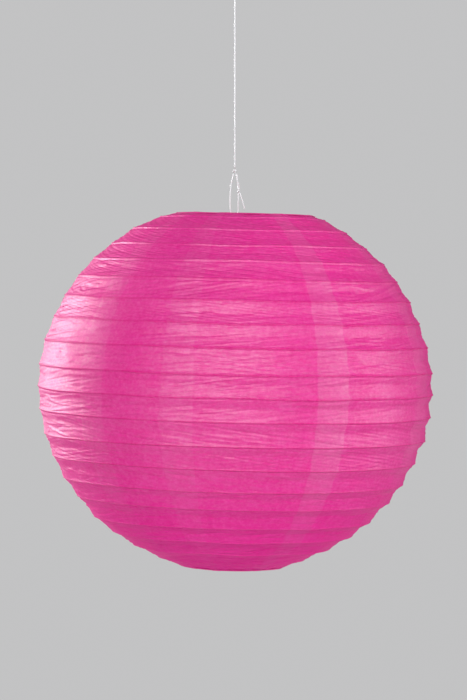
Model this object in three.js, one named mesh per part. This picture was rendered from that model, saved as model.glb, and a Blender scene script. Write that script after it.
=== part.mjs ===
import * as THREE from 'three';

// Round collapsible paper lantern hanging on a thin line from an adhesive ceiling hook.
// Millimetres, +Z up, origin at the centre of the face that sticks to the ceiling.
// X runs left to right and Y runs front to back. The shade hangs 1.34 degrees off
// plumb because its stretcher stands 3.45 mm to one side of its middle.

// ---- ceiling hook ----
const PAD_R = 14, PAD_T = 0.8;              // foam adhesive pad
const BASE_R = 16, BASE_T = 3.0;            // moulded base disc
const BOSS_R = 4.5, BOSS_L = 5.0;           // boss that takes the hook's shank
const GAP = 0.3;                            // running gap between touching pieces
const HOOK_WIRE_R = 1.2, HOOK_R = 7.0;      // hook wire, radius of the hook's bend
const HOOK_Z = -22.0;                       // centre of the bend

// ---- line ----
const LINE_R = 0.5;                         // 1 mm line
const KNOT_R = 1.6;
const TOP_KNOT_Z = -47.5;
const LOW_KNOT_Z = -190.5;

// ---- shade ----
const TILT = THREE.MathUtils.degToRad(1.34);
const OFFSET = 3.45;                        // stretcher plane to shade axis
const HANGER_Z = -230.95;                   // middle of the stretcher's crest
const CREST_H = 125.5;                      // crest above the shade's equator
const RIB_R = 0.55;                         // rib wire, corner radius of its section
const PAPER_T = 0.35;
const FACETS = 32;
// at each ring: outer radius of the paper, height above the equator, sideways shift of the ring
const PROFILE = [
  [51.6, 133.6, 4.1], [62.4, 130.7, 2.4], [80.8, 121.4, 0.7], [96.7, 109.7, 0.6],
  [110.0, 98.2, 0.5], [121.1, 84.8, 0], [131.0, 69.6, 0], [138.7, 53.4, 0],
  [145.4, 35.7, 0], [149.3, 16.9, 0], [150.2, 0, 0], [148.4, -16.9, 0],
  [144.6, -35.2, 0], [137.7, -52.0, 0], [128.8, -68.5, 0], [118.5, -82.3, 0],
  [104.9, -97.3, 0], [91.6, -108.4, 0], [74.7, -118.8, 0], [55.8, -127.4, 0],
  [39.7, -133.8, 0],
];

// ---- stretcher (one bent spring wire) ----
const EXP_R = 0.9;
const LEG_Y = 37.0;

const group = new THREE.Group();
group.name = 'paper_lantern';

function colour(hex, roughness, metalness) {
  return new THREE.MeshStandardMaterial({ color: hex, roughness, metalness });
}
const STEEL = () => colour(0xb8bcc0, 0.35, 1.0);
const RIB = () => colour(0xc9a9b6, 0.5, 0.9);
const PAPER = () => colour(0xe5479b, 0.85, 0.0);
const LINE = () => colour(0xd8d8dc, 0.3, 0.0);
const WHITE = () => colour(0xf1f1ee, 0.5, 0.0);
const FOAM = () => colour(0xe6e6e0, 0.9, 0.0);

function add(name, geometry, material, parent = group) {
  const mesh = new THREE.Mesh(geometry, material);
  mesh.name = name;
  parent.add(mesh);
  return mesh;
}

function signedVolume(position, index) {
  const a = new THREE.Vector3(), b = new THREE.Vector3(), c = new THREE.Vector3();
  let sum = 0;
  for (let i = 0; i < index.length; i += 3) {
    a.fromArray(position, 3 * index[i]);
    b.fromArray(position, 3 * index[i + 1]);
    c.fromArray(position, 3 * index[i + 2]);
    sum += a.dot(b.cross(c));
  }
  return sum;
}

function closed(position, index) {
  if (signedVolume(position, index) < 0) {
    for (let i = 0; i < index.length; i += 3) {
      [index[i + 1], index[i + 2]] = [index[i + 2], index[i + 1]];
    }
  }
  const geometry = new THREE.BufferGeometry();
  geometry.setAttribute('position', new THREE.Float32BufferAttribute(position, 3));
  geometry.setIndex(index);
  return geometry.toNonIndexed().computeVertexNormals() ?? geometry;
}

// A ring about Z whose section is the closed loop of [radius, height, sideways shift] points.
function hoop(section, facets = FACETS) {
  const position = [], index = [], n = section.length;
  for (let i = 0; i < facets; i++) {
    const t = (2 * Math.PI * (i + 0.5)) / facets;
    for (const [r, z, dx = 0] of section) position.push(dx + r * Math.cos(t), r * Math.sin(t), z);
  }
  for (let i = 0; i < facets; i++) {
    const j = (i + 1) % facets;
    for (let k = 0; k < n; k++) {
      const m = (k + 1) % n;
      index.push(i * n + k, j * n + k, j * n + m, i * n + k, j * n + m, i * n + m);
    }
  }
  return closed(position, index);
}

// A solid of revolution about Z whose profile starts and ends on the axis.
function turned(profile, facets = 32) {
  const points = profile.map(([r, z]) => new THREE.Vector2(r, z));
  const lathe = new THREE.LatheGeometry(points, facets);
  lathe.rotateX(Math.PI / 2);
  return lathe;
}

// A round wire along points that lie in one plane, with flat ends.
function wire(points, planeNormal, radius, sides = 8) {
  const position = [], index = [], n = points.length;
  const side = planeNormal.clone().normalize();
  for (let i = 0; i < n; i++) {
    const before = i ? points[i].clone().sub(points[i - 1]).normalize() : null;
    const after = i < n - 1 ? points[i + 1].clone().sub(points[i]).normalize() : null;
    const along = (before && after ? before.clone().add(after) : before ?? after).normalize();
    const across = new THREE.Vector3().crossVectors(side, along).normalize();
    const stretch = before && after ? 1 / Math.sqrt((1 + before.dot(after)) / 2) : 1;
    for (let k = 0; k < sides; k++) {
      const t = (2 * Math.PI * (k + 0.5)) / sides;
      const p = points[i].clone()
        .addScaledVector(across, radius * Math.cos(t) * stretch)
        .addScaledVector(side, radius * Math.sin(t));
      position.push(p.x, p.y, p.z);
    }
  }
  for (let i = 0; i < n - 1; i++) {
    for (let k = 0; k < sides; k++) {
      const m = (k + 1) % sides;
      const a = i * sides + k, b = i * sides + m, c = a + sides, d = b + sides;
      index.push(a, c, d, a, d, b);
    }
  }
  for (let k = 1; k < sides - 1; k++) {
    index.push(0, k, k + 1);
    const e = (n - 1) * sides;
    index.push(e, e + k + 1, e + k);
  }
  return closed(position, index);
}

// A round cord swept along a curve.
function cord(curve, radius, steps, sides = 8) {
  const shape = new THREE.Shape(Array.from({ length: sides }, (_, k) => {
    const t = (2 * Math.PI * (k + 0.5)) / sides;
    return new THREE.Vector2(radius * Math.cos(t), radius * Math.sin(t));
  }));
  return new THREE.ExtrudeGeometry(shape, { steps, extrudePath: curve, bevelEnabled: false, curveSegments: 1 });
}

function ball(radius, x, y, z, sx = 1, sy = 1, sz = 1) {
  const g = new THREE.SphereGeometry(radius, 16, 12);
  g.scale(sx, sy, sz);
  g.translate(x, y, z);
  return g;
}

const V = (x, y, z) => new THREE.Vector3(x, y, z);

// Rounds the corners of a polyline.
function rounded(corners, radii, n = 5) {
  const out = [corners[0]];
  for (let i = 1; i < corners.length - 1; i++) {
    const a = corners[i - 1], b = corners[i], c = corners[i + 1];
    const ab = a.clone().sub(b).normalize(), cb = c.clone().sub(b).normalize();
    const half = Math.acos(THREE.MathUtils.clamp(ab.dot(cb), -1, 1)) / 2;
    const reach = radii[i - 1] / Math.tan(half);
    const p = b.clone().addScaledVector(ab, reach), q = b.clone().addScaledVector(cb, reach);
    for (let k = 0; k <= n; k++) {
      const t = k / n;
      out.push(p.clone().multiplyScalar((1 - t) ** 2)
        .addScaledVector(b, 2 * t * (1 - t)).addScaledVector(q, t * t));
    }
  }
  out.push(corners[corners.length - 1]);
  return out;
}

// ---------------------------------------------------------------- ceiling hook
add('adhesive_pad', turned([[0, -PAD_T], [PAD_R, -PAD_T], [PAD_R, 0], [0, 0]]), FOAM());

const baseTop = -PAD_T - GAP, baseLow = baseTop - BASE_T, bossLow = baseLow - BOSS_L;
const BORE_R = HOOK_WIRE_R + GAP, boreTop = baseTop - 0.8;
add('hook_base', turned([
  [0, boreTop], [BORE_R, boreTop], [BORE_R, bossLow], [BOSS_R - 0.8, bossLow],
  [BOSS_R, bossLow + 0.8], [BOSS_R + 0.6, baseLow], [BASE_R - 1.2, baseLow],
  [BASE_R, baseLow + 1.2], [BASE_R, baseTop], [0, baseTop],
]), WHITE());

const hookPath = [V(0, 0, boreTop - GAP), V(0, 0, -11.2), V(0.35, 0, -12.6), V(1.3, 0, -13.8), V(2.7, 0, -14.9)];
for (let deg = 55; deg >= -215; deg -= 15) {
  const a = THREE.MathUtils.degToRad(deg);
  hookPath.push(V(HOOK_R * Math.cos(a), 0, HOOK_Z + HOOK_R * Math.sin(a)));
}
add('ceiling_hook', wire(hookPath, V(0, 1, 0), HOOK_WIRE_R, 10), STEEL());

// ---------------------------------------------------------------- line
const hookWireZ = HOOK_Z - HOOK_R;
const topBend = HOOK_WIRE_R + GAP + LINE_R;
const topLoop = [V(0, -0.8, TOP_KNOT_Z + 2.35), V(0, -1.9, TOP_KNOT_Z + 5), V(0, -2.7, TOP_KNOT_Z + 9.5), V(0, -2.5, TOP_KNOT_Z + 14.5)];
for (let deg = 185; deg >= -5; deg -= 19) {
  const a = THREE.MathUtils.degToRad(deg);
  topLoop.push(V(0, topBend * Math.cos(a), hookWireZ + topBend * Math.sin(a)));
}
topLoop.push(V(0, 2.5, TOP_KNOT_Z + 14.5), V(0, 2.7, TOP_KNOT_Z + 9.5), V(0, 1.9, TOP_KNOT_Z + 5), V(0, 0.8, TOP_KNOT_Z + 2.35));
add('line_top_loop', cord(new THREE.CatmullRomCurve3(topLoop, false, 'centripetal'), LINE_R, 64), LINE());
add('line_top_knot', ball(KNOT_R, 0, 0, TOP_KNOT_Z), LINE());

add('line_main', cord(new THREE.LineCurve3(
  V(0, 0, TOP_KNOT_Z - KNOT_R - 0.35), V(0, 0, LOW_KNOT_Z + KNOT_R + 0.35)), LINE_R, 12), LINE());

add('line_low_knot', ball(KNOT_R, 0, 0, LOW_KNOT_Z), LINE());

const lowBend = EXP_R + GAP + LINE_R;
const hitchAt = V(2.9, 0, LOW_KNOT_Z - 15.2);
const lowLoop = [V(-0.95, 0, LOW_KNOT_Z - 2.2), V(-2.4, 0, LOW_KNOT_Z - 8), V(-3.3, 0, LOW_KNOT_Z - 15), V(-3.6, 0, LOW_KNOT_Z - 24), V(-2.9, 0, LOW_KNOT_Z - 32)];
for (let deg = 175; deg <= 365; deg += 19) {
  const a = THREE.MathUtils.degToRad(deg);
  lowLoop.push(V(lowBend * Math.cos(a), 0, HANGER_Z + lowBend * Math.sin(a)));
}
lowLoop.push(V(2.2, 0, LOW_KNOT_Z - 32), V(2.6, 0, LOW_KNOT_Z - 24), V(2.85, 0, hitchAt.z - 1.75));
add('line_low_loop', cord(new THREE.CatmullRomCurve3(lowLoop, false, 'centripetal'), LINE_R, 76), LINE());
add('line_hitch', ball(1.1, hitchAt.x, 0, hitchAt.z, 1, 1, 1.25), LINE());
// the two strands between knot and hitch lie side by side and read as one flat strand
const strand = cord(new THREE.CatmullRomCurve3([
  V(1.0, 0, LOW_KNOT_Z - 2.2), V(1.75, 0, LOW_KNOT_Z - 6), V(2.4, 0, LOW_KNOT_Z - 10), V(2.8, 0, hitchAt.z + 1.75),
], false, 'centripetal'), LINE_R, 12);
strand.scale(1, 1.9, 1);
add('line_double_strand', strand, LINE());
add('line_tag_end', cord(new THREE.CatmullRomCurve3([
  V(hitchAt.x + 0.85, 0, hitchAt.z - 1.35), V(5.2, 0, hitchAt.z - 6), V(7.4, 0, hitchAt.z - 13.4),
], false, 'centripetal'), LINE_R, 10), LINE());

// ---------------------------------------------------------------- shade
// Built about its own axis with its equator at height 0, then hung from the crest.
const shade = new THREE.Group();
shade.name = 'shade';
shade.rotation.y = TILT;
shade.position.set(
  OFFSET * Math.cos(TILT) - CREST_H * Math.sin(TILT), 0,
  HANGER_Z - OFFSET * Math.sin(TILT) - CREST_H * Math.cos(TILT));
group.add(shade);

function unit(a, b) {
  const l = Math.hypot(b[0] - a[0], b[1] - a[1]);
  return [(b[0] - a[0]) / l, (b[1] - a[1]) / l];
}

// outward normal of the paper at each ring, and the ring's own centre inside the paper
const LAST = PROFILE.length - 1;
const rings = PROFILE.map((p, k) => {
  const a = PROFILE[Math.max(0, k - 1)], b = PROFILE[Math.min(LAST, k + 1)];
  const [tr, tz] = unit(a, b);
  const nr = -tz, nz = tr;
  const inward = PAPER_T + GAP + RIB_R;
  return { r: p[0] - nr * inward, z: p[1] - nz * inward, x: p[2], nr, nz };
});

const names = rings.map((_, k) => (k === 0 ? 'top_ring' : k === LAST ? 'bottom_ring' : `rib_${k}`));
rings.forEach(({ r, z, x, nr, nz }, k) => {
  const d = RIB_R;
  const section = [[nr * d, nz * d], [-nz * d, nr * d], [-nr * d, -nz * d], [nz * d, -nr * d]]
    .map(([dr, dz]) => [r + dr, z + dz, x]);
  add(names[k], hoop(section), RIB(), shade);
});

for (let k = 1; k <= LAST; k++) {
  const a = PROFILE[k - 1], b = PROFILE[k];
  const [tr, tz] = unit(a, b);
  const nr = -tz, nz = tr, trim = 0.2;
  const p = [a[0] + tr * trim, a[1] + tz * trim], q = [b[0] - tr * trim, b[1] - tz * trim];
  add(`paper_band_${k}`, hoop([
    [...p, a[2]], [...q, b[2]], [q[0] - nr * PAPER_T, q[1] - nz * PAPER_T, b[2]],
    [p[0] - nr * PAPER_T, p[1] - nz * PAPER_T, a[2]],
  ]), PAPER(), shade);
}

// ---------------------------------------------------------------- stretcher
const topRing = rings[0], lowRing = rings[LAST];
const rest = RIB_R + GAP + EXP_R;           // wire centre to ring centre where they touch
const half = [                               // from the crest to one foot, [y, height]
  [0, CREST_H], [5.5, CREST_H], [9.5, CREST_H - 8], [16, CREST_H - 8.5],
  [43, topRing.z - rest], [51.8, topRing.z - rest], [48.4, topRing.z - rest - 9],
  [LEG_Y, 100], [LEG_Y, lowRing.z + rest], [41.6, lowRing.z + rest],
];
const radii = [3.6, 3.2, 4, 6, 1.5, 10, 14, 1.5];
const right = rounded(half.map(([y, h]) => V(-OFFSET, y, h)), radii, 4);
const left = right.slice(1).map((p) => V(p.x, -p.y, p.z)).reverse();
add('stretcher', wire([...left, ...right], V(1, 0, 0), EXP_R, 8), STEEL(), shade);

export default group;
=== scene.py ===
import math

import bpy
import numpy as np
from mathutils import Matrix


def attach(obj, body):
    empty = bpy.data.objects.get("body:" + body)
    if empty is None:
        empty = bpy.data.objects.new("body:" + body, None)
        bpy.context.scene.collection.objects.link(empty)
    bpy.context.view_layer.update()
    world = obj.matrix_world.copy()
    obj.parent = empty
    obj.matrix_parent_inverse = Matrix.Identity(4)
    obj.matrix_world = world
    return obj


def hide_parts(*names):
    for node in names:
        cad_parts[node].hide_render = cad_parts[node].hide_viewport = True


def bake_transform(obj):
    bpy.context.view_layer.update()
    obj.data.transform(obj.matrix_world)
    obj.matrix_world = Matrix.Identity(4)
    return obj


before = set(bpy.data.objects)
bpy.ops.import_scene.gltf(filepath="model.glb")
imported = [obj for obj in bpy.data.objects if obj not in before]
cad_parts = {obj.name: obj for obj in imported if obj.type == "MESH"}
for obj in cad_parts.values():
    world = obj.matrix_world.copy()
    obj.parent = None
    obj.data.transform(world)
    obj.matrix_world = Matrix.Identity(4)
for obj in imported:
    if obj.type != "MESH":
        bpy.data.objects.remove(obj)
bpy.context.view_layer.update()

RNG = np.random.default_rng(4711)
MM = 0.001

# ------------------------------------------------------------------ dimensions, as in the CAD
PAPER_T, GAP, RIB_R = 0.35, 0.3, 0.55
WIRE_R = 0.45
TILT = math.radians(1.34)
OFFSET, HANGER_Z, CREST_H = 3.45, -230.95, 125.5
EXP_R, LEG_Y = 0.9, 37.0
LINE_R, KNOT_R = 0.5, 1.6
TOP_KNOT_Z, LOW_KNOT_Z = -47.5, -190.5
HOOK_WIRE_R, HOOK_R, HOOK_Z = 1.2, 7.0, -22.0
RINGS = np.array([
    [51.6, 133.6, 4.1], [62.4, 130.7, 2.4], [80.8, 121.4, 0.7], [96.7, 109.7, 0.6],
    [110.0, 98.2, 0.5], [121.1, 84.8, 0], [131.0, 69.6, 0], [138.7, 53.4, 0],
    [145.4, 35.7, 0], [149.3, 16.9, 0], [150.2, 0, 0], [148.4, -16.9, 0],
    [144.6, -35.2, 0], [137.7, -52.0, 0], [128.8, -68.5, 0], [118.5, -82.3, 0],
    [104.9, -97.3, 0], [91.6, -108.4, 0], [74.7, -118.8, 0], [55.8, -127.4, 0],
    [39.7, -133.8, 0],
])
PROFILE, SHIFT = RINGS[:, :2], RINGS[:, 2]
LAST = len(PROFILE) - 1
CT, ST = math.cos(TILT), math.sin(TILT)
CENTRE = np.array([OFFSET * CT - CREST_H * ST, 0.0, HANGER_Z - OFFSET * ST - CREST_H * CT])
AXIS = np.array([ST, 0.0, CT])


def hang(p):
    """Shade coordinates in mm to the row frame in metres."""
    p = np.asarray(p, float)
    x = CENTRE[0] + p[..., 0] * CT + p[..., 2] * ST
    y = p[..., 1]
    z = CENTRE[2] - p[..., 0] * ST + p[..., 2] * CT
    return np.stack([x, y, z], -1) * MM


# ring normals and wire centres
NORMALS = np.zeros((LAST + 1, 2))
for k in range(LAST + 1):
    a, b = PROFILE[max(0, k - 1)], PROFILE[min(LAST, k + 1)]
    t = (b - a) / np.linalg.norm(b - a)
    NORMALS[k] = (-t[1], t[0])
WIRES = PROFILE - NORMALS * (PAPER_T + GAP + RIB_R)
BODIES = ["shade_top", "shade_top"] + [f"shade_rib_{k}" for k in range(2, LAST)] + ["shade_bottom_ring"]
RING_NODES = ["top_ring"] + [f"rib_{k}" for k in range(1, LAST)] + ["bottom_ring"]


# ------------------------------------------------------------------ smooth periodic noise
def wave_sum(count, low, high, power=1.0, seed=None):
    """Random smooth function of an angle, about -1 to 1, with whole waves from low to high."""
    r = np.random.default_rng(seed)
    n = r.integers(low, high + 1, count)
    amp = r.normal(0, 1, count) / n ** power
    ph = r.uniform(0, 2 * np.pi, count)
    amp /= math.sqrt((amp ** 2).sum() / 2) + 1e-9

    def f(theta):
        theta = np.asarray(theta, float)
        return 0.6 * (amp * np.cos(np.multiply.outer(theta, n) + ph)).sum(-1)
    return f


RING_DR = [wave_sum(7, 2, 14, 0.8, 100 + k) for k in range(LAST + 1)]
RING_DZ = [wave_sum(7, 1, 11, 0.8, 200 + k) for k in range(LAST + 1)]
DR_AMP, DZ_AMP = 0.35, 0.45


def ring_point(k, theta, base=PROFILE):
    """The place of ring k, with its small bends, as (radius, height) at angle theta."""
    calm = 0.5 if k in (0, LAST) else 1.0
    return (base[k, 0] + calm * DR_AMP * RING_DR[k](theta),
            base[k, 1] + calm * DZ_AMP * RING_DZ[k](theta))


# ------------------------------------------------------------------ mesh helpers
def mesh_object(name, verts, faces, smooth=True):
    me = bpy.data.meshes.new(name)
    me.from_pydata([tuple(v) for v in verts], [], faces)
    me.validate()
    me.update()
    if smooth:
        me.polygons.foreach_set("use_smooth", np.ones(len(me.polygons), bool))
    ob = bpy.data.objects.new(name, me)
    bpy.context.scene.collection.objects.link(ob)
    return ob


def outward(verts, faces):
    v = np.asarray(verts)
    total = 0.0
    for f in faces:
        for i in range(1, len(f) - 1):
            total += v[f[0]] @ np.cross(v[f[i]], v[f[i + 1]])
    return faces if total > 0 else [tuple(reversed(f)) for f in faces]


def tube(name, pts, radius, sides=12, loop=False, ends="flat"):
    """A round wire along points in metres, by a frame carried along it without twist."""
    pts = np.asarray(pts, float)
    n = len(pts)
    if loop:
        tang = np.roll(pts, -1, 0) - np.roll(pts, 1, 0)
    else:
        tang = np.gradient(pts, axis=0)
    tang /= np.linalg.norm(tang, axis=1)[:, None]
    up = np.array([0, 1.0, 0]) if abs(tang[0][1]) < 0.9 else np.array([1.0, 0, 0])
    side = np.cross(tang[0], up)
    side /= np.linalg.norm(side)
    sides_at = [side]
    for i in range(1, n):
        s = sides_at[-1] - tang[i] * (sides_at[-1] @ tang[i])
        sides_at.append(s / np.linalg.norm(s))
    s = np.array(sides_at)
    b = np.cross(tang, s)
    rad = np.broadcast_to(np.asarray(radius, float), (n,))
    ang = 2 * np.pi * np.arange(sides) / sides
    rings = (pts[:, None] + rad[:, None, None] * (np.cos(ang)[None, :, None] * s[:, None]
             + np.sin(ang)[None, :, None] * b[:, None]))
    if ends == "round" and not loop:
        first, last = [], []
        for deg in (80, 60, 35):
            a = math.radians(deg)
            first.append(pts[0] - tang[0] * rad[0] * math.sin(a) + (rings[0] - pts[0]) * math.cos(a))
            last.insert(0, pts[-1] + tang[-1] * rad[-1] * math.sin(a) + (rings[-1] - pts[-1]) * math.cos(a))
        rings = np.concatenate([first, rings, last])
    verts = rings.reshape(-1, 3)
    m = len(rings)
    faces = []
    for i in range(m if loop else m - 1):
        j = (i + 1) % m
        for q in range(sides):
            w = (q + 1) % sides
            faces.append((i * sides + q, i * sides + w, j * sides + w, j * sides + q))
    if not loop:
        faces.append(tuple(range(sides - 1, -1, -1)))
        faces.append(tuple((m - 1) * sides + q for q in range(sides)))
    return mesh_object(name, verts, outward(verts, faces))


def turned(name, profile, segs=96, centre=(0, 0, 0)):
    """A solid turned about Z from a profile in mm that starts and ends on the axis."""
    prof = np.asarray(profile, float)
    verts, faces = [], []
    idx = []
    for r, z in prof:
        if r < 1e-9:
            idx.append([len(verts)])
            verts.append((centre[0], centre[1], centre[2] + z))
        else:
            row = []
            for i in range(segs):
                t = 2 * math.pi * i / segs
                row.append(len(verts))
                verts.append((centre[0] + r * math.cos(t), centre[1] + r * math.sin(t), centre[2] + z))
            idx.append(row)
    for a, b in zip(idx, idx[1:]):
        for i in range(segs):
            j = (i + 1) % segs
            if len(a) == 1 and len(b) == 1:
                continue
            if len(a) == 1:
                faces.append((a[0], b[i], b[j]))
            elif len(b) == 1:
                faces.append((a[i], b[0], a[j]))
            else:
                faces.append((a[i], b[i], b[j], a[j]))
    verts = np.array(verts) * MM
    return mesh_object(name, verts, outward(verts, faces))


def catmull(points, per=8):
    """A smooth curve through points (centripetal Catmull-Rom)."""
    p = [np.array(q, float) for q in points]
    p = [2 * p[0] - p[1]] + p + [2 * p[-1] - p[-2]]
    out = []
    for i in range(1, len(p) - 2):
        p0, p1, p2, p3 = p[i - 1:i + 3]
        t0 = 0.0
        t1 = t0 + max(np.linalg.norm(p1 - p0), 1e-9) ** 0.5
        t2 = t1 + max(np.linalg.norm(p2 - p1), 1e-9) ** 0.5
        t3 = t2 + max(np.linalg.norm(p3 - p2), 1e-9) ** 0.5
        for s in np.linspace(t1, t2, per, endpoint=False):
            a1 = (t1 - s) / (t1 - t0) * p0 + (s - t0) / (t1 - t0) * p1
            a2 = (t2 - s) / (t2 - t1) * p1 + (s - t1) / (t2 - t1) * p2
            a3 = (t3 - s) / (t3 - t2) * p2 + (s - t2) / (t3 - t2) * p3
            b1 = (t2 - s) / (t2 - t0) * a1 + (s - t0) / (t2 - t0) * a2
            b2 = (t3 - s) / (t3 - t1) * a2 + (s - t1) / (t3 - t1) * a3
            out.append((t2 - s) / (t2 - t1) * b1 + (s - t1) / (t2 - t1) * b2)
    out.append(p[-2])
    return np.array(out)


def rounded(corners, radii, n=8):
    c = [np.array(q, float) for q in corners]
    out = [c[0]]
    for i in range(1, len(c) - 1):
        ab, cb = c[i - 1] - c[i], c[i + 1] - c[i]
        ab, cb = ab / np.linalg.norm(ab), cb / np.linalg.norm(cb)
        half = math.acos(max(-1, min(1, ab @ cb))) / 2
        reach = radii[i - 1] / math.tan(half)
        p, q = c[i] + ab * reach, c[i] + cb * reach
        for t in np.linspace(0, 1, n + 1):
            out.append((1 - t) ** 2 * p + 2 * t * (1 - t) * c[i] + t * t * q)
    out.append(c[-1])
    return np.array(out)


def spaced(points, step):
    """Points a fixed step apart along a polyline."""
    p = np.asarray(points, float)
    d = np.concatenate([[0], np.cumsum(np.linalg.norm(np.diff(p, axis=0), axis=1))])
    n = max(2, int(round(d[-1] / step)) + 1)
    s = np.linspace(0, d[-1], n)
    return np.stack([np.interp(s, d, p[:, i]) for i in range(3)], 1)


# ------------------------------------------------------------------ materials
class Nodes:
    def __init__(self, name):
        self.mat = bpy.data.materials.new(name)
        self.mat.use_nodes = True
        self.nt = self.mat.node_tree
        self.nt.nodes.clear()
        self.out = self.nt.nodes.new("ShaderNodeOutputMaterial")

    def new(self, kind, **props):
        n = self.nt.nodes.new("ShaderNode" + kind)
        for k, v in props.items():
            setattr(n, k, v)
        return n

    def put(self, socket, value):
        if hasattr(value, "is_output"):
            self.nt.links.new(value, socket)
        else:
            socket.default_value = value

    def math(self, op, a, b=0.0, c=None, clamp=False):
        n = self.new("Math", operation=op, use_clamp=clamp)
        self.put(n.inputs[0], a)
        self.put(n.inputs[1], b)
        if c is not None:
            self.put(n.inputs[2], c)
        return n.outputs[0]

    def ramp(self, value, stops):
        n = self.new("ValToRGB")
        els = n.color_ramp.elements
        while len(els) > 1:
            els.remove(els[-1])
        els[0].position, els[0].color = stops[0][0], (*stops[0][1], 1)
        for pos, col in stops[1:]:
            e = els.new(pos)
            e.color = (*col, 1)
        self.put(n.inputs[0], value)
        return n.outputs[0]

    def grey(self, value, lo, hi, a=0.0, b=1.0, kind="SMOOTHSTEP"):
        n = self.new("MapRange", interpolation_type=kind, clamp=True)
        self.put(n.inputs["Value"], value)
        for key, v in (("From Min", lo), ("From Max", hi), ("To Min", a), ("To Max", b)):
            self.put(n.inputs[key], v)
        return n.outputs[0]

    def noise(self, vector, scale, detail=4.0, rough=0.55, stretch=None):
        if stretch is not None:
            m = self.new("Mapping")
            self.put(m.inputs["Vector"], vector)
            m.inputs["Scale"].default_value = stretch
            vector = m.outputs[0]
        n = self.new("TexNoise")
        self.put(n.inputs["Vector"], vector)
        n.inputs["Scale"].default_value = scale
        n.inputs["Detail"].default_value = detail
        n.inputs["Roughness"].default_value = rough
        return n.outputs["Fac"]

    def mix(self, fac, a, b):
        n = self.new("Mix", data_type="RGBA")
        self.put(n.inputs[0], fac)
        self.put(n.inputs[6], a if hasattr(a, "is_output") else (*a, 1))
        self.put(n.inputs[7], b if hasattr(b, "is_output") else (*b, 1))
        return n.outputs[2]

    def bump(self, height, strength, distance, normal=None):
        n = self.new("Bump")
        n.inputs["Strength"].default_value = strength
        n.inputs["Distance"].default_value = distance
        self.put(n.inputs["Height"], height)
        if normal is not None:
            self.put(n.inputs["Normal"], normal)
        return n.outputs[0]


# seam places, in degrees from the front towards +X, first edge and last edge
SEAMS = [(-49.5, -40.5), (-21.5, -12.0), (23.5, 33.4), (64.0, 73.5), (107.0, 116.5),
         (150.5, 160.0), (-167.0, -157.5), (-124.5, -115.0), (-88.0, -78.5)]
SEAM_SHOW = [0.35, 0.35, 0.8, 0.4, 0.7, 0.7, 0.7, 0.7, 0.3]


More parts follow.
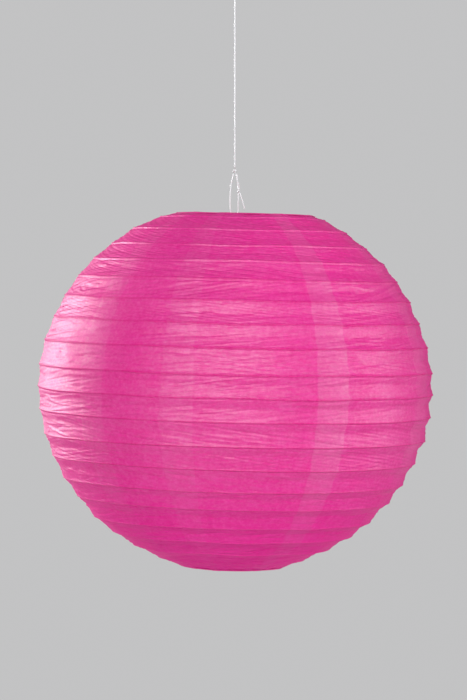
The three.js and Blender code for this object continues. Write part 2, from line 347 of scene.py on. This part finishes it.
def paper_material():
    g = Nodes("pink_tissue_paper")
    at = g.new("Attribute", attribute_name="shade", attribute_type="GEOMETRY")
    p = at.outputs["Vector"]
    glue_shade_mask = g.new("Attribute", attribute_name="glue_and_wire_shade", attribute_type="GEOMETRY").outputs["Fac"]
    sep = g.new("SeparateXYZ")
    g.put(sep.inputs[0], p)
    az = g.math("ARCTAN2", sep.outputs[0], g.math("MULTIPLY", sep.outputs[1], -1.0))
    wob = g.math("MULTIPLY", g.math("SUBTRACT", g.noise(p, 18.0, 3.0), 0.5), 0.035)
    az = g.math("ADD", az, wob)
    seam = None
    for (lo, hi), show in zip(SEAMS, SEAM_SHOW):
        c, half = math.radians((lo + hi) / 2), math.radians((hi - lo) / 2)
        d = g.math("ABSOLUTE", g.math("SUBTRACT", az, c))
        m = g.grey(d, half - 0.006, half + 0.004, show, 0.0)
        seam = m if seam is None else g.math("MAXIMUM", seam, m)
    # fibres and clouding of the tissue
    cloud = g.noise(p, 34.0, 5.0, 0.6)
    mottle = g.noise(p, 260.0, 6.0, 0.65, stretch=(1.0, 1.0, 0.6))
    strands = g.noise(p, 620.0, 4.0, 0.65, stretch=(0.55, 0.55, 1.0))
    flecks = g.noise(p, 1500.0, 2.0, 0.5)
    body = g.ramp(mottle, [(0.30, (0.69, 0.005, 0.250)), (0.52, (0.75, 0.008, 0.288)), (0.72, (0.79, 0.024, 0.345))])
    body = g.mix(g.grey(cloud, 0.38, 0.68, 0.0, 0.22), body, (0.78, 0.045, 0.365))
    body = g.mix(g.grey(strands, 0.52, 0.74, 0.0, 0.22), body, (0.82, 0.075, 0.40))
    body = g.mix(g.grey(flecks, 0.66, 0.78, 0.0, 0.18), body, (0.90, 0.26, 0.56))
    # painted shade: this mask is 0 in the bottom bands and 1 above them, so the seams' lighter colour and the gloss
    # fade towards the bottom
    low = g.grey(sep.outputs[2], -0.116, -0.026, 0.0, 1.0)
    body = g.mix(g.math("MULTIPLY", seam, g.math("ADD", g.math("MULTIPLY", low, 0.10), 0.03)), body, (0.92, 0.14, 0.48))
    # painted shade, partly real glue: the paper darkens along each rib, standing in for the wire's shadow through the
    # tissue and the fold's shade
    line = g.math("MULTIPLY", glue_shade_mask, g.grey(g.noise(p, 120.0, 4.0, 0.6), 0.3, 0.6, 0.55, 1.0))
    body = g.mix(g.math("MULTIPLY", line, 0.5), body, (0.72, 0.003, 0.19))
    rough = g.math("ADD", g.grey(mottle, 0.3, 0.7, 0.46, 0.56), g.grey(strands, 0.4, 0.7, -0.03, 0.04))
    height = g.math("ADD", g.math("MULTIPLY", mottle, 0.8), g.math("ADD", g.math("MULTIPLY", strands, 0.5), g.math("MULTIPLY", flecks, 0.18)))
    crinkle = g.noise(p, 80.0, 6.0, 0.62, stretch=(0.30, 0.30, 2.4))
    fold = g.math("ABSOLUTE", g.math("SUBTRACT", crinkle, 0.5))
    n1 = g.bump(fold, 0.75, 0.0010)
    n2 = g.bump(height, 0.60, 0.00018, n1)
    b = g.new("BsdfPrincipled")
    g.put(b.inputs["Base Color"], body)
    g.put(b.inputs["Roughness"], rough)
    b.inputs["Specular IOR Level"].default_value = 0.08
    b.inputs["Sheen Weight"].default_value = 0.02
    b.inputs["Sheen Roughness"].default_value = 0.40
    b.inputs["Sheen Tint"].default_value = (1.0, 0.84, 0.93, 1)
    g.put(b.inputs["Normal"], n2)
    # seams and rib lines let less light through: two layers of paper, glue, and a painted shadow of the wire
    tr = g.new("BsdfTranslucent")
    g.put(tr.inputs["Color"], g.mix(g.math("MAXIMUM", seam, line), (0.84, 0.022, 0.27), (0.72, 0.012, 0.22)))
    g.put(tr.inputs["Normal"], n1)
    # the pale gloss of the tissue's fibres, stronger where two panels overlap; its weight is painted shade, fading
    # towards the bottom bands, and a painted highlight on the rib lines there
    gl2 = g.new("BsdfAnisotropic")
    gl2.inputs["Color"].default_value = (0.97, 0.93, 0.96, 1)
    gl2.inputs["Roughness"].default_value = 0.53
    g.put(gl2.inputs["Normal"], n2)
    fib = g.math("ADD", g.grey(strands, 0.36, 0.66, 0.70, 1.25), g.grey(mottle, 0.3, 0.7, -0.10, 0.10))
    fib = g.math("MULTIPLY", fib, g.grey(cloud, 0.35, 0.65, 0.92, 1.08))
    gloss_with_painted_shade = g.math("ADD", g.math("MULTIPLY", fib, 0.100), g.math("MULTIPLY", seam, 0.075))
    gloss_with_painted_shade = g.math("MULTIPLY", gloss_with_painted_shade, g.math("SUBTRACT", 1.0, g.math("MULTIPLY", line, 0.5)))
    # painted shade: the gloss weakens towards the bottom bands
    gloss_with_painted_shade = g.math("MULTIPLY", gloss_with_painted_shade, g.math("ADD", g.math("MULTIPLY", low, 0.74), 0.26))
    # painted highlight, partly burnished paper: more gloss on the rib lines of the bottom bands, where the ridge tops
    # catch light
    gloss_with_painted_shade = g.math("ADD", gloss_with_painted_shade, g.math("MULTIPLY", line, g.math("SUBTRACT", 0.11, g.math("MULTIPLY", low, 0.11))))
    m1 = g.new("MixShader")
    g.put(m1.inputs[0], gloss_with_painted_shade)
    g.put(m1.inputs[1], b.outputs[0])
    g.put(m1.inputs[2], gl2.outputs[0])
    mx = g.new("MixShader")
    mx.inputs[0].default_value = 0.30
    g.put(mx.inputs[1], m1.outputs[0])
    g.put(mx.inputs[2], tr.outputs[0])
    g.put(g.out.inputs["Surface"], mx.outputs[0])
    return g.mat


def metal_material(name, dark, light, rough=(0.28, 0.5), scale=900.0, spots=None, metal=1.0):
    g = Nodes(name)
    tc = g.new("TexCoord")
    p = tc.outputs["Object"]
    n = g.noise(p, scale, 5.0, 0.6)
    big = g.noise(p, scale / 9, 4.0, 0.6)
    col = g.ramp(n, [(0.3, dark), (0.7, light)])
    if spots is not None:
        col = g.mix(g.grey(big, 0.55, 0.68, 0.0, 0.6), col, spots)
    b = g.new("BsdfPrincipled")
    g.put(b.inputs["Base Color"], col)
    b.inputs["Metallic"].default_value = metal
    g.put(b.inputs["Roughness"], g.grey(big, 0.3, 0.7, rough[0], rough[1]))
    g.put(b.inputs["Normal"], g.bump(g.noise(p, scale * 1.7, 3.0, 0.5), 0.25, 0.00005))
    g.put(g.out.inputs["Surface"], b.outputs[0])
    return g.mat


def plastic_material(name, low, high, rough=(0.3, 0.45), scale=400.0, grain=0.00004, trans=0.0):
    g = Nodes(name)
    p = g.new("TexCoord").outputs["Object"]
    n = g.noise(p, scale, 4.0, 0.55)
    fine = g.noise(p, scale * 6, 2.0, 0.5)
    b = g.new("BsdfPrincipled")
    g.put(b.inputs["Base Color"], g.ramp(n, [(0.25, low), (0.75, high)]))
    g.put(b.inputs["Roughness"], g.grey(n, 0.3, 0.7, rough[0], rough[1]))
    b.inputs["Transmission Weight"].default_value = trans
    g.put(b.inputs["Normal"], g.bump(fine, 0.35, grain))
    g.put(g.out.inputs["Surface"], b.outputs[0])
    return g.mat


PAPER = paper_material()
RIB_WIRE = metal_material("galvanised_rib_wire", (0.36, 0.33, 0.35), (0.58, 0.55, 0.58), (0.35, 0.55), spots=(0.50, 0.20, 0.32))
STEEL = metal_material("bright_spring_wire", (0.45, 0.46, 0.48), (0.66, 0.67, 0.69), (0.22, 0.38))
NYLON = plastic_material("nylon_line", (0.58, 0.58, 0.60), (0.70, 0.70, 0.72), (0.18, 0.26), 160.0, 0.000004, 0.0)
MOULDED = plastic_material("moulded_white_plastic", (0.80, 0.80, 0.77), (0.86, 0.86, 0.83), (0.32, 0.44), 260.0, 0.00003)
FOAM = plastic_material("adhesive_foam", (0.62, 0.62, 0.58), (0.74, 0.74, 0.70), (0.8, 0.95), 900.0, 0.00025)


def dress(ob, mat):
    ob.data.materials.clear()
    ob.data.materials.append(mat)
    return ob


# ------------------------------------------------------------------ paper
def azimuth_of(theta):
    """Degrees from the front (-Y) towards +X."""
    return np.degrees(np.arctan2(np.cos(theta), -np.sin(theta)))


# depth in mm of the fold between two ribs
VALLEY = np.array([0.35, 0.6, 0.75, 0.85, 0.9, 1.05, 1.25, 1.35, 1.4, 1.55,
                   1.6, 1.6, 1.65, 1.5, 1.45, 1.4, 1.2, 1.0, 0.85, 0.45])
# how much each rib's line darkens the paper: partly glue, partly painted shade of the wire seen through the tissue and
# of the fold just below it
GLUE_AND_WIRE_SHADE = np.interp(np.arange(LAST + 1), [0, 3, 5, 8, 13, 16, 20], [0.15, 0.3, 0.75, 1.0, 1.0, 0.5, 0.3])


def stations(length):
    """Distances along a band, closer together near the ribs and at the middle fold."""
    edge = [0.0, 0.25, 0.5, 0.8, 1.15, 1.55, 2.0]
    mid = length / 2
    inner = []
    step = 0.75
    n = max(2, int(round((mid - 0.5 - 2.0) / step)))
    inner = list(np.linspace(2.0, mid - 0.5, n + 1))[1:]
    half = edge + inner
    full = half + [mid] + [length - h for h in reversed(half)]
    return np.array(full) / length


def creases(k, length, radius):
    """Random wrinkles of one band: (angle, place across, half length, slope, height, width)."""
    r = np.random.default_rng(900 + k)
    around = 2 * math.pi * radius
    out = []
    for _ in range(int(around / 7.0)):
        th = r.uniform(0, 2 * math.pi)
        az = math.degrees(math.atan2(math.cos(th), -math.sin(th)))
        left = 6 <= k <= 16 and (-105 < az < -35)
        diag = r.random() < (0.42 if left else 0.10)
        slope = r.normal(0, 0.38) if diag else r.normal(0, 0.05)
        ln = r.uniform(7, 24) if diag else r.uniform(10, 80)
        a = r.choice([-1, 1]) * r.uniform(0.10, 0.36) * (1.4 if left else 1.0)
        out.append((th, r.uniform(0.08, 0.92) * length, ln / 2, slope, a, r.uniform(0.5, 1.2)))
        if left and r.random() < 0.9:
            out.append((th + r.normal(0, 0.05), r.uniform(0.1, 0.9) * length, r.uniform(5, 15), r.normal(0, 0.35),
                        r.choice([-1, 1]) * r.uniform(0.16, 0.42), r.uniform(0.5, 1.0)))
    return out


def band(k):
    """The paper between ring k-1 and ring k: a thin closed sheet."""
    a, b = PROFILE[k - 1], PROFILE[k]
    length = float(np.linalg.norm(b - a))
    radius = float((a[0] + b[0]) / 2)
    cols = int(round(2 * math.pi * radius / 1.5 / 8) * 8)
    theta = 2 * math.pi * (np.arange(cols)) / cols
    v = stations(length)
    T, Vv = np.meshgrid(theta, v)                      # rows: across the band
    ra, za = ring_point(k - 1, theta)
    rb, zb = ring_point(k, theta)
    R = ra + (rb - ra) * Vv
    Z = za + (zb - za) * Vv
    na, nb = NORMALS[k - 1], NORMALS[k]
    N = na[None, None] * (1 - Vv[..., None]) + nb[None, None] * Vv[..., None]
    N /= np.linalg.norm(N, axis=-1, keepdims=True)
    centre_x = SHIFT[k - 1] + (SHIFT[k] - SHIFT[k - 1]) * Vv
    # valley fold between the ribs, deeper on the right
    depth = VALLEY[k - 1] * (1 + 0.28 * np.cos(theta)) * (1 + 0.20 * wave_sum(8, 3, 22, 0.5, 300 + k)(theta))
    v0 = (0.47 if k < 10 else 0.42) + 0.045 * wave_sum(6, 2, 12, 0.5, 400 + k)(theta)
    u = np.where(Vv < v0, Vv / v0, (1 - Vv) / (1 - v0))
    e = 0.055
    f = (1 + e) - np.sqrt((1 - u) ** 2 + e * e) - (1 + e - math.sqrt(1 + e * e))
    f /= (1 + e) - e - (1 + e - math.sqrt(1 + e * e))
    s = Vv * length                                    # mm from the rib above
    d = -depth * f
    # the paper stands over the wire at each rib and is tucked in just below it
    d += 0.34 * np.exp(-(s / 0.6) ** 2) + 0.34 * np.exp(-((length - s) / 0.8) ** 2) - 0.34
    tuck = 0.30 * (1 + 0.3 * wave_sum(9, 4, 40, 0.3, 450 + k)(theta))
    d -= tuck * np.exp(-((s - 1.25) / 0.75) ** 2) * np.clip(s / 0.5, 0, 1)
    edge = np.clip(np.minimum(s, length - s) / 2.2, 0, 1)
    edge = edge * edge * (3 - 2 * edge)
    # broad puckers
    rl = np.random.default_rng(700 + k)
    lean = rl.uniform(0.7, 1.4, 2) * rl.choice([-1, 1], 2)
    puck = sum(wave_sum(9, 12, 70, 0.3, 500 + 10 * k + q)(T + lean[q - 1] * Vv) * w for q, w in ((1, 0.17), (2, 0.14)))
    d += edge * puck * min(1.0, length / 15)
    # long fine wrinkles and creases
    for th, sc, hl, slope, amp, wid in creases(k, length, radius):
        dth = (theta - th + math.pi) % (2 * math.pi) - math.pi
        x = dth * radius
        near = np.abs(x) < hl * 1.15
        if not near.any():
            continue
        x = x[near]
        bow = sc + slope * x + 0.6 * np.sin(x / (hl * 0.9) + th * 7)
        dist = (s[:, near] - bow[None]) / wid
        along = np.clip(1 - (np.abs(x) / hl), 0, 1)
        along = np.sqrt(along) * along ** 0.5
        shape = np.exp(-dist ** 2) - 0.45 * np.exp(-((dist - 1.5) / 1.3) ** 2)
        d[:, near] += amp * shape * along[None] * edge[:, near]
    # overlap of the panels: a real step of one more layer
    az = azimuth_of(T)
    wob = 0.25 * wave_sum(6, 2, 9, 0.4, 77)(Vv * 1.3 + k * 0.9)
    for lo, hi in SEAMS:
        q = az + wob
        step = np.clip((q - lo) / 0.45, 0, 1) * np.clip((hi - q) / 0.9, 0, 1)
        d += 0.14 * step
    t_sheet = 0.10
    layers = []
    for off in (t_sheet / 2, -t_sheet / 2):
        dd = d + off
        rr, zz = R + N[..., 0] * dd, Z + N[..., 1] * dd
        P = np.stack([centre_x + rr * np.cos(T), rr * np.sin(T), zz], -1)
        layers.append(P)
    rows = len(v)
    outer, inner = layers
    local = np.concatenate([outer.reshape(-1, 3), inner.reshape(-1, 3)])
    idx = np.arange(rows * cols).reshape(rows, cols)
    nxt = np.roll(idx, -1, 1)
    o = np.stack([idx[:-1], idx[1:], nxt[1:], nxt[:-1]], -1).reshape(-1, 4)
    i = np.stack([idx[:-1], nxt[:-1], nxt[1:], idx[1:]], -1).reshape(-1, 4) + rows * cols
    m = rows * cols
    top = np.stack([idx[0], nxt[0], nxt[0] + m, idx[0] + m], -1)
    low = np.stack([idx[-1], idx[-1] + m, nxt[-1] + m, nxt[-1]], -1)
    faces = np.concatenate([o, i, top, low])
    world = hang(local)
    # face outwards
    f0 = faces[0]
    nrm = np.cross(world[f0[1]] - world[f0[0]], world[f0[2]] - world[f0[0]])
    rad = world[f0[0]] - hang(np.array([0, 0, 0.0]))
    if nrm @ rad < 0:
        faces = faces[:, ::-1]
    me = bpy.data.meshes.new(f"paper_{k}")
    me.vertices.add(len(world))
    me.vertices.foreach_set("co", world.astype(np.float32).ravel())
    me.loops.add(faces.size)
    me.loops.foreach_set("vertex_index", faces.astype(np.int32).ravel())
    me.polygons.add(len(faces))
    me.polygons.foreach_set("loop_start", np.arange(0, faces.size, 4, dtype=np.int32))
    me.polygons.foreach_set("loop_total", np.full(len(faces), 4, np.int32))
    me.update(calc_edges=True)
    me.validate()
    me.polygons.foreach_set("use_smooth", np.ones(len(me.polygons), bool))
    att = me.attributes.new("shade", "FLOAT_VECTOR", "POINT")
    att.data.foreach_set("vector", (local * MM).astype(np.float32).ravel())
    # painted shade, partly real glue: how dark the paper is along the two ribs of this band
    glue_and_wire_shade = (GLUE_AND_WIRE_SHADE[k - 1] * np.exp(-(s / 0.55) ** 2) + GLUE_AND_WIRE_SHADE[k] * np.exp(-((length - s) / 0.55) ** 2)).astype(np.float32).ravel()
    me.attributes.new("glue_and_wire_shade", "FLOAT", "POINT").data.foreach_set("value", np.concatenate([glue_and_wire_shade, glue_and_wire_shade]))
    ob = bpy.data.objects.new(f"paper_{k}", me)
    bpy.context.scene.collection.objects.link(ob)
    dress(ob, PAPER)
    if k == 1:
        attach(ob, BODIES[1])
    else:
        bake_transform(ob)
    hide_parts(f"paper_band_{k}")
    return ob


for k in range(1, LAST + 1):
    band(k)


# ------------------------------------------------------------------ hems over the two end rings
def hem(name, k, body, flap):
    """The paper's edge turned over the end ring and glued down inside."""
    cols = 360
    theta = 2 * math.pi * np.arange(cols) / cols
    rr, zz = ring_point(k, theta)
    up = 1 if k == 0 else -1
    n = NORMALS[k]
    other = PROFILE[1] if k == 0 else PROFILE[LAST - 1]
    t = other - PROFILE[k]
    t = t / np.linalg.norm(t)                          # along the paper, away from the mouth
    c = -(PAPER_T + GAP + RIB_R)                       # wire centre below the paper
    arc = []
    reach = RIB_R + 0.42
    for deg in np.linspace(0, 180, 11):
        a = math.radians(deg)
        arc.append(n * (c + reach * math.cos(a)) - t * (reach * math.sin(a)))
    tail = [n * (c - reach) + t * q for q in (1.5, 3.0, flap)]
    head = [n * (c + reach) + t * q for q in (2.2, 1.0)]
    prof = np.array(head + arc + tail)
    wobble = 1 + 0.25 * wave_sum(10, 5, 60, 0.3, 640 + k)(theta)
    thick = 0.16
    # offset the profile to give it thickness
    tan = np.gradient(prof, axis=0)
    tan /= np.linalg.norm(tan, axis=1)[:, None]
    nor = np.stack([-tan[:, 1], tan[:, 0]], 1)
    both = np.concatenate([prof + nor * thick / 2, (prof - nor * thick / 2)[::-1]])
    m = len(both)
    flapness = np.zeros(m)
    flapness[[len(prof) - 1, m - len(prof)]] = 1.0
    verts = []
    for i in range(cols):
        for q in range(m):
            extra = t * (wobble[i] - 1) * 2.2 * flapness[q]
            pr = both[q] + extra
            r_, z_ = rr[i] + pr[0], zz[i] + pr[1]
            verts.append((SHIFT[k] + r_ * math.cos(theta[i]), r_ * math.sin(theta[i]), z_))
    local = np.array(verts)
    faces = []
    for i in range(cols):
        j = (i + 1) % cols
        for q in range(m):
            w = (q + 1) % m
            faces.append((i * m + q, j * m + q, j * m + w, i * m + w))
    world = hang(local)
    ob = mesh_object(name, world, outward(world, faces))
    att = ob.data.attributes.new("shade", "FLOAT_VECTOR", "POINT")
    att.data.foreach_set("vector", (local * MM).astype(np.float32).ravel())
    # a faint painted rib shade, partly glue, along the hem
    ob.data.attributes.new("glue_and_wire_shade", "FLOAT", "POINT").data.foreach_set("value", np.full(len(local), 0.2, np.float32))
    dress(ob, PAPER)
    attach(ob, body)
    return ob


hem("top_hem", 0, "shade_top", 5.0)
hem("bottom_hem", LAST, "shade_bottom_ring", 5.0)

# ------------------------------------------------------------------ rib wires
for k in range(LAST + 1):
    cols = 240
    theta = 2 * math.pi * np.arange(cols) / cols
    calm = 0.5 if k in (0, LAST) else 1.0
    rr = WIRES[k, 0] + calm * DR_AMP * RING_DR[k](theta)
    zz = WIRES[k, 1] + calm * DZ_AMP * RING_DZ[k](theta)
    pts = hang(np.stack([SHIFT[k] + rr * np.cos(theta), rr * np.sin(theta), zz], 1))
    w = tube(f"wire_{RING_NODES[k]}", pts, WIRE_R * MM, 10, loop=True)
    dress(w, RIB_WIRE)
    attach(w, BODIES[k])
    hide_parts(RING_NODES[k])

# ------------------------------------------------------------------ stretcher
rest = RIB_R + GAP + EXP_R
top_z, low_z = WIRES[0, 1], WIRES[LAST, 1]
half = [
    (0, CREST_H), (5.5, CREST_H), (9.5, CREST_H - 8), (16, CREST_H - 8.5),
    (43, top_z - rest), (51.8, top_z - rest), (48.4, top_z - rest - 9),
    (LEG_Y, 100), (LEG_Y, low_z + rest), (41.6, low_z + rest),
]
right = rounded([(-OFFSET, y, h) for y, h in half], [3.6, 3.2, 4, 6, 1.5, 10, 14, 1.5], 10)
left = (right[1:] * np.array([1, -1, 1]))[::-1]
frame_path = spaced(np.concatenate([left, right]), 0.9)
st = tube("stretcher_wire", hang(frame_path), EXP_R * MM, 16, ends="round")
dress(st, STEEL)
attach(st, "shade_top")
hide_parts("stretcher")

# ------------------------------------------------------------------ ceiling hook
pad_t, base_t, boss_l = 0.8, 3.0, 5.0
base_top = -pad_t - GAP
base_low = base_top - base_t
boss_low = base_low - boss_l
bore_r, bore_top = HOOK_WIRE_R + GAP, base_top - 0.8
pad = turned("foam_pad", [(0, -pad_t), (13.7, -pad_t), (14.0, -pad_t * 0.7), (14.0, -0.15), (13.85, 0), (0, 0)], 96)
dress(pad, FOAM)
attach(pad, "ceiling")
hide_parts("adhesive_pad")
prof = [(0, bore_top), (bore_r, bore_top), (bore_r, boss_low + 0.25), (bore_r + 0.25, boss_low), (3.7, boss_low)]
prof += [(3.7 + 0.8 * math.sin(a), boss_low + 0.8 - 0.8 * math.cos(a)) for a in np.linspace(0.15, math.pi / 2, 7)]
prof += [(4.6, base_low - 1.3), (4.75, base_low - 0.6), (5.3, base_low - 0.15), (6.2, base_low)]
prof += [(14.2, base_low)]
prof += [(14.2 + 1.8 * math.sin(a), base_low + 1.8 - 1.8 * math.cos(a)) for a in np.linspace(0.15, math.pi / 2, 9)]
prof += [(16.0, base_top - 0.3), (15.7, base_top), (0, base_top)]
base = turned("hook_base_disc", prof, 128)
dress(base, MOULDED)
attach(base, "ceiling")
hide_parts("hook_base")
hp = [(0, 0, bore_top - GAP), (0, 0, -8.5), (0, 0, -11.2), (0.35, 0, -12.6), (1.3, 0, -13.8), (2.7, 0, -14.9)]
hp += [(HOOK_R * math.cos(math.radians(d)), 0, HOOK_Z + HOOK_R * math.sin(math.radians(d))) for d in range(55, -216, -15)]
hook = tube("hook_wire", spaced(catmull(np.array(hp) * MM, 10), 0.35 * MM), HOOK_WIRE_R * MM, 18, ends="round")
dress(hook, STEEL)
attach(hook, "ceiling")
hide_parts("ceiling_hook")


# ------------------------------------------------------------------ line
def strand(name, pts, body, node=None, radius=LINE_R, ends="round", step=0.35):
    ob = tube(name, spaced(catmull(np.array(pts) * MM, 10), step * MM), radius * MM, 12, ends=ends)
    dress(ob, NYLON)
    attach(ob, body)
    if node:
        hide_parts(node)
    return ob


def knot(name, centre, turns, core, wire, body, node, lean=0.35, flat=1.0, seed=0):
    """A small knot: a strand wound over itself in a tight ball."""
    r = np.random.default_rng(seed)
    t = np.linspace(0, 1, 150)
    a = 2 * math.pi * turns * t
    ph = r.uniform(0, 6)
    lat = math.pi * (t - 0.5) * 0.92
    x = core * np.cos(lat) * np.cos(a + ph)
    y = core * flat * np.cos(lat) * np.sin(a + ph)
    z = core * 0.95 * np.sin(lat) + lean * np.sin(a * 0.5 + ph) * core * 0.35
    pts = np.stack([x + centre[0], y + centre[1], z + centre[2]], 1) * MM
    ob = tube(name, pts, wire * MM, 10, ends="round")
    dress(ob, NYLON)
    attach(ob, body)
    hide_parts(node)
    return ob


hook_wire_z = HOOK_Z - HOOK_R
tb = HOOK_WIRE_R + GAP + LINE_R
top_loop = [(0, -0.8, TOP_KNOT_Z + 2.35), (0, -1.9, TOP_KNOT_Z + 5), (0, -2.7, TOP_KNOT_Z + 9.5), (0, -2.5, TOP_KNOT_Z + 14.5)]
top_loop += [(0, tb * math.cos(math.radians(d)), hook_wire_z + tb * math.sin(math.radians(d))) for d in range(185, -6, -19)]
top_loop += [(0, 2.5, TOP_KNOT_Z + 14.5), (0, 2.7, TOP_KNOT_Z + 9.5), (0, 1.9, TOP_KNOT_Z + 5), (0, 0.8, TOP_KNOT_Z + 2.35)]
strand("line_hook_loop", top_loop, "line_loop", "line_top_loop")
knot("line_upper_knot", (0, 0, TOP_KNOT_Z), 3, 1.1, 0.5, "line_loop", "line_top_knot", seed=3)

run_pts = np.array([(0, 0, z) for z in np.linspace(TOP_KNOT_Z - KNOT_R - 0.35, LOW_KNOT_Z + KNOT_R + 0.35, 60)])
run = tube("line_run", run_pts * MM, LINE_R * MM, 12)
dress(run, NYLON)
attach(run, "line")
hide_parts("line_main")

low_knot = knot("line_lower_knot", (0, 0, LOW_KNOT_Z), 3, 1.1, 0.5, "low_knot", "line_low_knot", seed=8)

lb = EXP_R + GAP + LINE_R
hz = LOW_KNOT_Z - 15.2
low_loop = [(-0.95, 0, LOW_KNOT_Z - 2.2), (-2.4, 0, LOW_KNOT_Z - 8), (-3.3, 0, LOW_KNOT_Z - 15), (-3.6, 0, LOW_KNOT_Z - 24), (-2.9, 0, LOW_KNOT_Z - 32)]
low_loop += [(lb * math.cos(math.radians(d)), 0, HANGER_Z + lb * math.sin(math.radians(d))) for d in range(175, 366, 19)]
low_loop += [(2.2, 0, LOW_KNOT_Z - 32), (2.6, 0, LOW_KNOT_Z - 24), (2.85, 0, hz - 1.75)]
strand("line_hanger_loop", low_loop, "low_loop", "line_low_loop")
knot("line_side_hitch", (2.9, 0, hz), 2, 0.72, 0.45, "low_loop", "line_hitch", seed=5)
two = [(1.0, 0, LOW_KNOT_Z - 2.2), (1.75, 0, LOW_KNOT_Z - 6), (2.4, 0, LOW_KNOT_Z - 10), (2.8, 0, hz + 1.4)]
twist = spaced(catmull(np.array(two), 12), 0.3)
for i in (0, 1):
    a = np.linspace(0, 1.2 * math.pi, len(twist)) + i * math.pi
    off = np.stack([0.40 * np.cos(a), 0.42 * np.sin(a), 0 * a], 1)
    s_ = tube(f"line_strand_{i + 1}", (twist + off) * MM, 0.44 * MM, 12, ends="round")
    dress(s_, NYLON)
    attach(s_, "low_loop")
    if i == 0:
        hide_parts("line_double_strand")
strand("line_free_tag", [(2.9 + 0.85, 0, hz - 1.35), (5.2, 0, hz - 6), (7.4, 0, hz - 13.4)], "low_loop", "line_tag_end")

# ------------------------------------------------------------------ camera, light, stage
SCALE = 0.7595
dist = 2270.0
cam_data = bpy.data.cameras.new("camera")
cam_data.sensor_fit = "VERTICAL"
cam_data.sensor_height = 24.0
view_mid = CENTRE[2] + (390.0 - 350.0) * SCALE
eye_z = CENTRE[2] + 96.0
pitch = math.atan2(eye_z - view_mid, dist)
cam_data.lens = 24.0 / (700.0 * SCALE / dist * math.cos(pitch) ** 2)
cam_data.clip_start, cam_data.clip_end = 0.05, 60.0
cam = bpy.data.objects.new("camera", cam_data)
cam.location = (-1.0 * MM, -dist * MM, eye_z * MM)
cam.rotation_euler = (math.pi / 2 - pitch, 0, 0)
bpy.context.scene.collection.objects.link(cam)
bpy.context.scene.camera = cam


def area_light(name, place, target, size, power, colour=(1, 1, 1), spread=180.0):
    d = bpy.data.lights.new(name, "AREA")
    d.shape = "RECTANGLE"
    d.size, d.size_y = size
    d.energy = power
    d.color = colour
    d.spread = math.radians(spread)
    o = bpy.data.objects.new(name, d)
    o.location = place
    o.visible_camera = False
    v = np.array(target) - np.array(place)
    v = v / np.linalg.norm(v)
    from mathutils import Vector
    o.rotation_euler = Vector(v).to_track_quat("-Z", "Y").to_euler()
    bpy.context.scene.collection.objects.link(o)
    return o


mid = CENTRE * MM


def around(az, el, dist_m):
    """A place seen from the shade's middle: degrees from the front towards +X, degrees up."""
    a, e = math.radians(az), math.radians(el)
    return (mid[0] + dist_m * math.cos(e) * math.sin(a), mid[1] - dist_m * math.cos(e) * math.cos(a), mid[2] + dist_m * math.sin(e))


area_light("key_left", around(-125, 10, 1.6), mid, (0.62, 1.0), 6.3, spread=70)
area_light("front_strip", around(-5, 21, 2.05), mid, (2.4, 0.42), 13.6, spread=90)
area_light("fill_right", around(84, 10, 1.7), mid, (0.6, 0.9), 2.7, spread=70)
area_light("top_soft", around(5, 66, 1.2), mid, (1.0, 1.0), 3.0).visible_glossy = False
area_light("low_bounce", around(-5, -70, 1.0), mid, (1.2, 1.0), 4.4).visible_glossy = False

world = bpy.data.worlds.new("studio")
bpy.context.scene.world = world
world.use_nodes = True
bg = world.node_tree.nodes.get("Background") or world.node_tree.nodes.new("ShaderNodeBackground")
bg.inputs[0].default_value = (0.97, 0.97, 1.0, 1)
bg.inputs[1].default_value = 0.20
# the room itself is pale where it is seen directly
wt = world.node_tree
seen = wt.nodes.new("ShaderNodeBackground")
seen.inputs[0].default_value = (0.97, 0.97, 0.98, 1)
seen.inputs[1].default_value = 0.56
ray = wt.nodes.new("ShaderNodeLightPath")
pick = wt.nodes.new("ShaderNodeMixShader")
wt.links.new(ray.outputs["Is Camera Ray"], pick.inputs[0])
wt.links.new(bg.outputs[0], pick.inputs[1])
wt.links.new(seen.outputs[0], pick.inputs[2])
wout = wt.nodes.get("World Output") or wt.nodes.new("ShaderNodeOutputWorld")
wt.links.new(pick.outputs[0], wout.inputs["Surface"])

floor_z = mid[2] - 2.4
g = Nodes("pale_floor")
p = g.new("TexCoord").outputs["Object"]
b = g.new("BsdfPrincipled")
g.put(b.inputs["Base Color"], g.ramp(g.noise(p, 3.0, 5.0, 0.6), [(0.2, (0.80, 0.80, 0.80)), (0.8, (0.84, 0.84, 0.84))]))
b.inputs["Roughness"].default_value = 0.8
b.inputs["Specular IOR Level"].default_value = 0.2
g.put(g.out.inputs["Surface"], b.outputs[0])
# one wide round floor, well below the lantern
verts = [(10.0 * math.cos(a), 10.0 * math.sin(a), floor_z) for a in np.linspace(0, 2 * math.pi, 96, endpoint=False)]
floor = mesh_object("floor", verts, [tuple(range(96))])
dress(floor, g.mat)
area_light("floor_wash", (0.0, 0.0, floor_z + 0.9), (0.0, 0.001, floor_z), (25.0, 25.0), 1120.0).visible_glossy = False

bpy.context.scene.view_settings.view_transform = "Standard"
